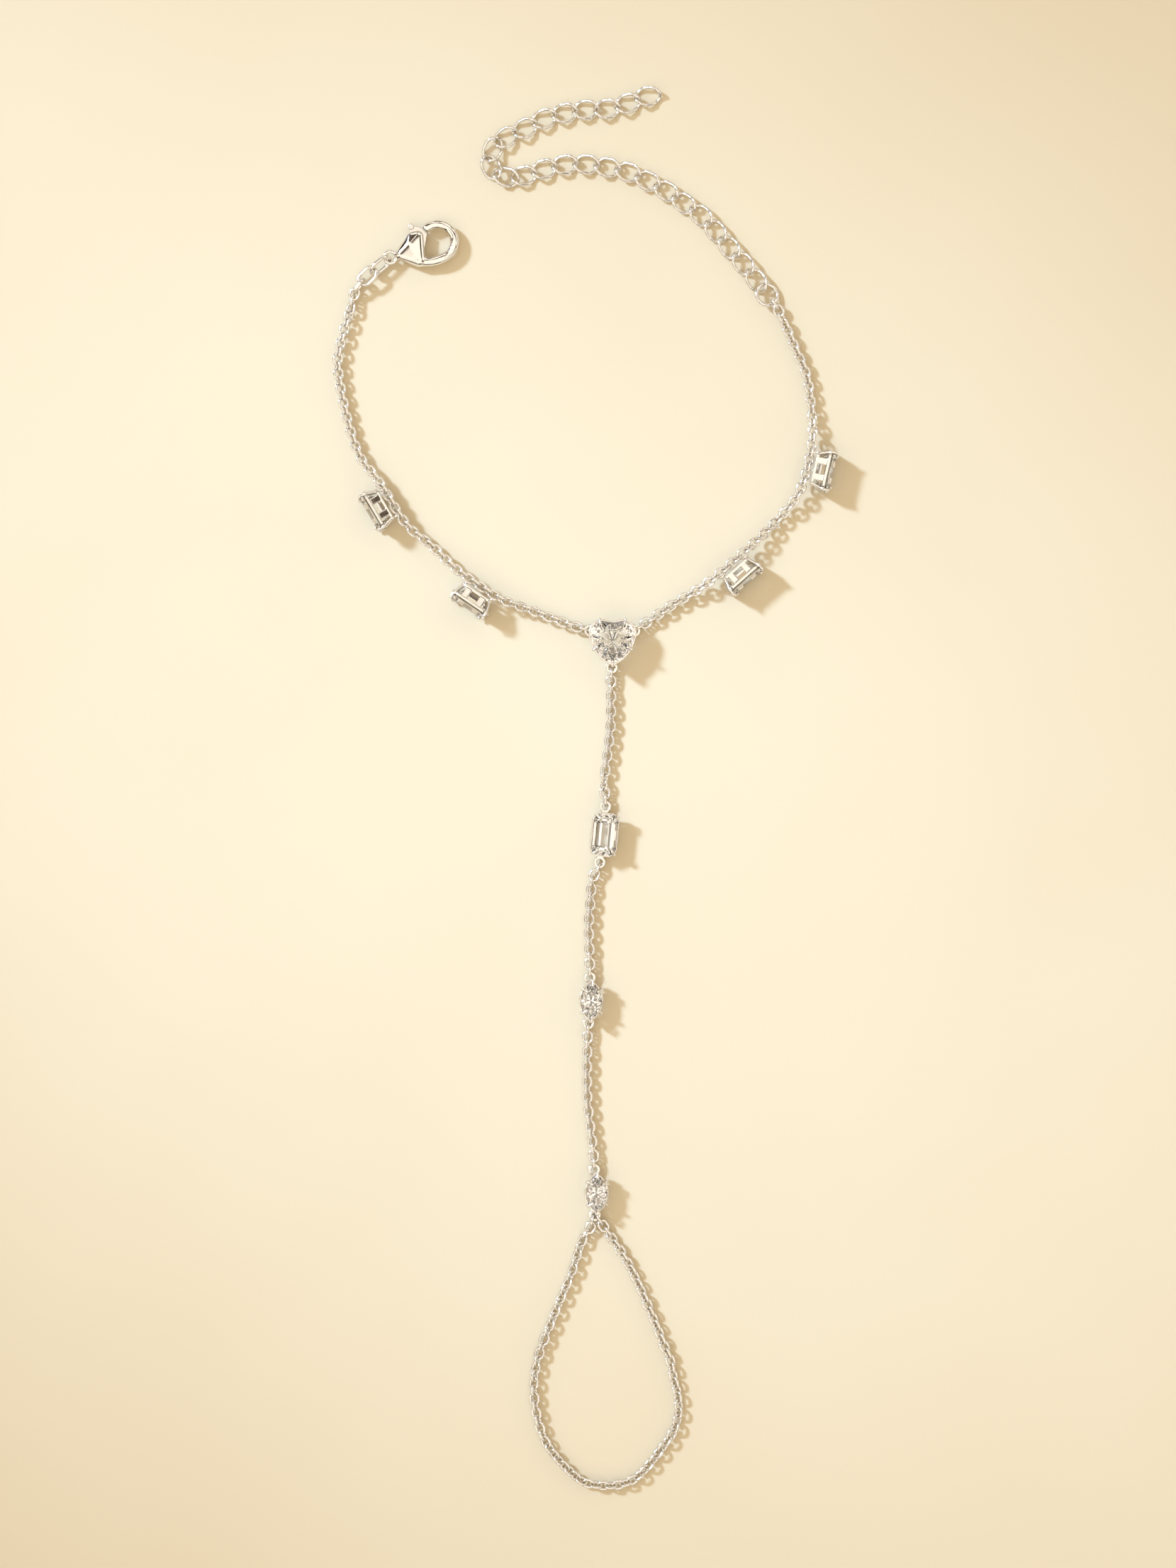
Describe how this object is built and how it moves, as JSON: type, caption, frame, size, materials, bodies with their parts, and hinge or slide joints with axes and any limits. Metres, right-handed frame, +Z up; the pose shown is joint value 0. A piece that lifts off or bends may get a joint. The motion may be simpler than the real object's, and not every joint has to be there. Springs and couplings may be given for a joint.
{
  "type": "hand chain bracelet",
  "caption": "Silver-tone hand chain: a wrist chain with clasp, curb extender and clear stones, a chain over the hand and a finger loop.",
  "frame": {"origin": "middle of the part's box, on the surface it lies on", "axes": "+Y from the finger loop toward the clasp and the extender's end, +Z up from the surface, +X to the right in the picture"},
  "size_m": [0.0712, 0.1978, 0.0043],
  "materials": {
    "metal": "silver-tone plated brass, polished",
    "stone": "clear cubic zirconia, polished facets"
  },
  "bodies": {
    "bracelet": {"clasp_body": "metal", "clasp_ring": "metal", "middle_ring": "metal", "end_link": "metal", "wrist_chain_left": "metal", "wrist_chain_right": "metal", "setting_1": "metal", "stone_1": "stone", "setting_2": "metal", "stone_2": "stone", "setting_3": "metal", "stone_3": "stone", "setting_4": "metal", "stone_4": "stone", "heart_setting": "metal", "heart_stone": "stone", "hand_chain_1": "metal", "emerald_setting": "metal", "emerald_stone": "stone", "hand_chain_2": "metal", "marquise_setting_1": "metal", "marquise_stone_1": "stone", "hand_chain_3": "metal", "marquise_setting_2": "metal", "marquise_stone_2": "stone", "finger_loop": "metal", "extender_ring": "metal", "extender_chain": "metal"},
    "lever": {"clasp_lever": "metal"}
  },
  "joints": [
    {"name": "lever_hinge", "type": "hinge", "parent": "bracelet", "child": "lever", "pos_m": [-0.02343, 0.07445, 0.00115], "axis": [0, 0, 1], "range_deg": [0, 22], "stiffness_Nm_per_rad": 0.005}
  ]
}
